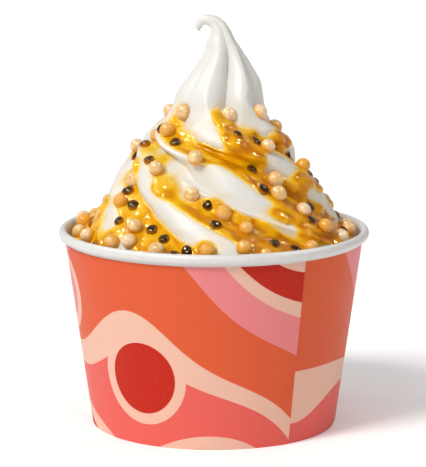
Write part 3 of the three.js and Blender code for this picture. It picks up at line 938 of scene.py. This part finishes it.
# ---------------------------------------------------------------- the fruit pulp
PULP_COLUMNS = 92         # per rib
PULP_ROW = 0.5
PULP_END = 124            # no pulp lies above this height
PULP_UNDER = 1.0          # how deep its underside lies in the yogurt
PULP_DIVE = 0.5           # how deep its top dives outside its edge
PULP_LEAST = -0.35        # how far outside the pulp's edge its layer is still made
PULP_WALL_GAP = 0.1       # between the pulp and the board
EDGE_WIDTH = 0.8          # over which the layer rises at its edge
SAC_COUNT = 620
SAC_RADII = (1.2, 2.8)
SAC_HEIGHT = 0.55         # of its radius
SAC_BULGE = 0.6           # of its radius, by which a sac pushes out the pulp's edge
SEED_MOUND = (3.3, 1.2)   # radius and height of the gel's mound over a seed
SEED_CLEARING = 3.6       # radius round a seed in which gel doesn't gather
COLLAR = 1.6              # by which the gel rises and spreads round a pearl
POOL_DEPTH = 2.2          # most that gel gathers in a valley
POOL_PASSES = 160         # rounds of averaging that give the level it gathers to


def bumps(points, centres, radii, heights):
    """Height of the tallest rounded bump over each point."""
    best = np.zeros(len(points))
    radii, heights = (np.broadcast_to(values, len(centres)) for values in (radii, heights))
    for centre, radius, height in zip(centres, radii, heights):
        near = np.abs(points[:, 2] - centre[2]) < radius
        d2 = np.sum((points[near] - centre) ** 2, axis=1) / radius ** 2
        best[near] = np.maximum(best[near], height * np.sqrt(np.clip(1 - d2, 0, 1)))
    return best


def softened(field, passes):
    """A grid of values averaged with its neighbours; its columns close on themselves."""
    for _ in range(passes):
        tall = np.pad(field, ((1, 1), (0, 0)), mode="edge")
        sides = np.roll(field, 1, 1) + np.roll(field, -1, 1)
        field = (2 * field + tall[:-2] + tall[2:] + sides) / 6
    return field


def juice_sacs(spots, depth):
    """Centres and radii of the sacs, scattered over the pulp."""
    rand = np.random.RandomState(2025)
    inside = np.flatnonzero(depth > 0.8)
    centres = spots[rand.choice(inside, SAC_COUNT, replace=False)]
    return centres, rand.uniform(*SAC_RADII, SAC_COUNT)


def pushed_out(depth, spots, sacs, sac_radii):
    """The pulp's depth once the sacs at its edges bulge out of them."""
    depth = depth.copy()
    for centre, radius in zip(sacs, sac_radii):
        near = np.flatnonzero(np.abs(spots[:, 2] - centre[2]) < radius)
        away = np.linalg.norm(spots[near] - centre, axis=1)
        depth[near] = np.maximum(depth[near], SAC_BULGE * radius - away)
    return depth


def fruit_pulp_layer(pearls, seeds, look):
    """The pulp as a closed, lumpy layer that dives under the yogurt at its edges."""
    heights = np.arange(FILL_TOP + 1.0, PULP_END, PULP_ROW)
    columns = PULP_COLUMNS * len(RIBS)
    azimuth = np.concatenate([rib_columns(z, PULP_COLUMNS) for z in heights])
    z = np.repeat(heights, columns)
    skin = yogurt_skin(azimuth, z)
    spots = on_axis(azimuth, z, skin)

    def averaged(values, passes):
        return softened(values.reshape(len(heights), columns), passes).ravel()

    depth = averaged(pulp_depth(azimuth, z) + 0.5 * noise(spots, 3.4, 21), 8)
    sacs, sac_radii = juice_sacs(spots, depth)
    depth = pushed_out(depth, spots, sacs, sac_radii)
    seed_spots = [seed["at"] for seed in seeds]
    lumps = np.maximum(bumps(spots, sacs, sac_radii, SAC_HEIGHT * sac_radii),
                       bumps(spots, seed_spots, *SEED_MOUND))
    lumps = averaged(lumps, 2)
    collar = bumps(spots, [p["at"] for p in pearls], [p["r"] + COLLAR for p in pearls], COLLAR)
    # gel gathers in the valleys, but does not drown the seeds
    pool = np.clip(averaged(skin, POOL_PASSES) - skin, 0, POOL_DEPTH)
    pool *= 1 - bumps(spots, seed_spots, SEED_CLEARING, 1.0)
    body = 0.5 + 0.2 * noise(spots, 3.0, 23) + np.maximum(lumps, 0.8 * collar) + pool
    rise = 1 - np.exp(-np.maximum(depth, 0) / EDGE_WIDTH)
    dive = np.maximum(depth, -PULP_DIVE)
    thickness = np.where(depth > 0, rise * body, dive)
    outer = np.minimum(skin + thickness, room(z) - PULP_WALL_GAP)
    # thin edges are pale; the tops of lumps get a painted highlight and the creases between them
    # painted shade; the right side gets painted shade too; brighter where gel gathers
    deep = 0.8 - 0.3 * smooth(0.1, 1.1, lumps) - 0.12 * pool + 0.2 * np.sin(azimuth * DEG)
    tone = smooth(-0.1, 1.6, depth) * deep
    used = (depth > PULP_LEAST).reshape(len(heights), columns)
    return layer_mesh(on_axis(azimuth, z, outer), on_axis(azimuth, z, skin - PULP_UNDER),
                      used, tone, look)


def layer_mesh(outside, inside, used, tone, look):
    """Closes the layer between two grids of points round the places in use."""
    rows, columns = used.shape
    near = used.copy()
    for shift, axis in ((1, 0), (-1, 0), (1, 1), (-1, 1)):
        near |= np.roll(used, shift, axis)
    beside = np.roll(near, -1, 1)
    cell = near[:-1] & near[1:] & beside[:-1] & beside[1:]
    j = np.arange(columns)
    nxt = (j + 1) % columns
    count = rows * columns
    faces = []
    for i in range(rows - 1):
        a, b = i * columns, (i + 1) * columns
        quads = np.stack([a + j, a + nxt, b + nxt, b + j], axis=1)[cell[i]]
        faces += quads.tolist() + (quads[:, ::-1] + count).tolist()
    # an edge with one outer quad beside it lies on the border, where the layer is closed
    border = {}
    for quad in faces:
        if quad[0] >= count:
            continue
        for p, q in zip(quad, quad[1:] + quad[:1]):
            if (q, p) in border:
                del border[(q, p)]
            else:
                border[(p, q)] = True
    faces += [[q, p, p + count, q + count] for p, q in border]
    points = np.concatenate([outside, inside])
    kept = np.unique(np.concatenate([np.ravel(f) for f in faces]))
    new = np.full(len(points), -1)
    new[kept] = np.arange(len(kept))
    faces = [[int(new[p]) for p in face] for face in faces]
    obj = mesh_object("fruit_pulp", points[kept], faces, [look])
    # the tone holds the pulp's painted shade and highlight as well as its paler thin edges
    attribute(obj, "tone", np.concatenate([tone, tone])[kept])
    return obj


# ---------------------------------------------------------------- floor, light, camera
def sky(scene):
    """Even light from all round, brighter overhead."""
    levels = ((0.1, 0.38), (0.8, 0.57))           # position up the dome, brightness
    world = bpy.data.worlds.new("studio_world")
    scene.world = world
    world.use_nodes = True
    tree = world.node_tree
    where = tree.nodes.new("ShaderNodeTexCoord")
    upward = tree.nodes.new("ShaderNodeSeparateXYZ")
    dome = tree.nodes.new("ShaderNodeValToRGB")
    for element, (position, level) in zip(dome.color_ramp.elements, levels):
        element.position = position
        element.color = (level, level, level, 1.0)
    tree.links.new(where.outputs["Generated"], upward.inputs[0])
    tree.links.new(upward.outputs[2], dome.inputs[0])
    tree.links.new(dome.outputs[0], tree.nodes["Background"].inputs[0])


def lamp(scene, name, azimuth, elevation, spread, strength, tint=(1.0, 1.0, 1.0)):
    """An even, distant light from that side, spread over an angle so that it is soft."""
    light = bpy.data.lights.new(name, "SUN")
    light.angle = spread * DEG
    light.energy = strength * math.pi
    light.color = tint
    obj = bpy.data.objects.new(name, light)
    a, e = azimuth * DEG, elevation * DEG
    toward = Vector((-math.sin(a) * math.cos(e), math.cos(a) * math.cos(e), -math.sin(e)))
    obj.rotation_euler = toward.to_track_quat("-Z", "Y").to_euler()
    scene.collection.objects.link(obj)
    return obj


def camera(scene):
    """A view of the front from a little above."""
    tilt = 10.549 * DEG
    distance = 0.9644
    aim_x, aim_z = -0.00033, 0.068943
    sensor = 36                                   # mm, for the view's longer side
    longer_side, focal_length = 467, 2667.02      # of the view, in pixels
    data = bpy.data.cameras.new("camera")
    data.sensor_width = sensor
    data.lens = focal_length * sensor / longer_side
    data.clip_start = 0.05
    obj = bpy.data.objects.new("camera", data)
    obj.location = (aim_x, -distance * math.cos(tilt), aim_z + distance * math.sin(tilt))
    obj.rotation_euler = (math.pi / 2 - tilt, 0, 0)
    scene.collection.objects.link(obj)
    scene.camera = obj


def studio():
    """The pale floor, the soft light and the camera."""
    scene = bpy.context.scene
    scene.view_settings.view_transform = "Standard"
    sky(scene)
    half = 6000
    corners = [[-half, -half, 0], [half, -half, 0], [half, half, 0], [-half, half, 0]]
    floor = mesh_object("studio_floor", corners, [[0, 1, 2, 3]], [floor_look()])
    lamp(scene, "key_light", -45, 46, 18, 0.7, (1.0, 0.985, 0.96))
    # sharper lights that only wet surfaces mirror
    for name, azimuth, strength in (("glint_front", -20, 0.7), ("glint_left", -110, 0.6),
                                    ("glint_right", 95, 0.5)):
        lamp(scene, name, azimuth, 50, 7, strength).visible_diffuse = False
    camera(scene)


# ---------------------------------------------------------------- the whole cup
def build():
    """Dresses the solids: the wall and the food in new pieces, the base in white board."""
    card, board = printed_card(), white_card()
    wall = tub_wall(card, board)
    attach(wall, "root")
    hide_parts("cup")

    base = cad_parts["cup_base"]
    base.data.materials.clear()
    base.data.materials.append(board)

    pearls, seeds = place_toppings()
    pieces = {
        "yogurt": yogurt_swirl(yogurt()),
        "fruit_pulp": fruit_pulp_layer(pearls, seeds, fruit_pulp()),
        "crisp_pearls": crisp_pearls(pearls, pearl_shell()),
        "seeds": seed_pieces(seeds, seed_shell()),
    }
    for slot, piece in pieces.items():
        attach(piece, "root")
        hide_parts("frozen_yogurt")


build()
studio()
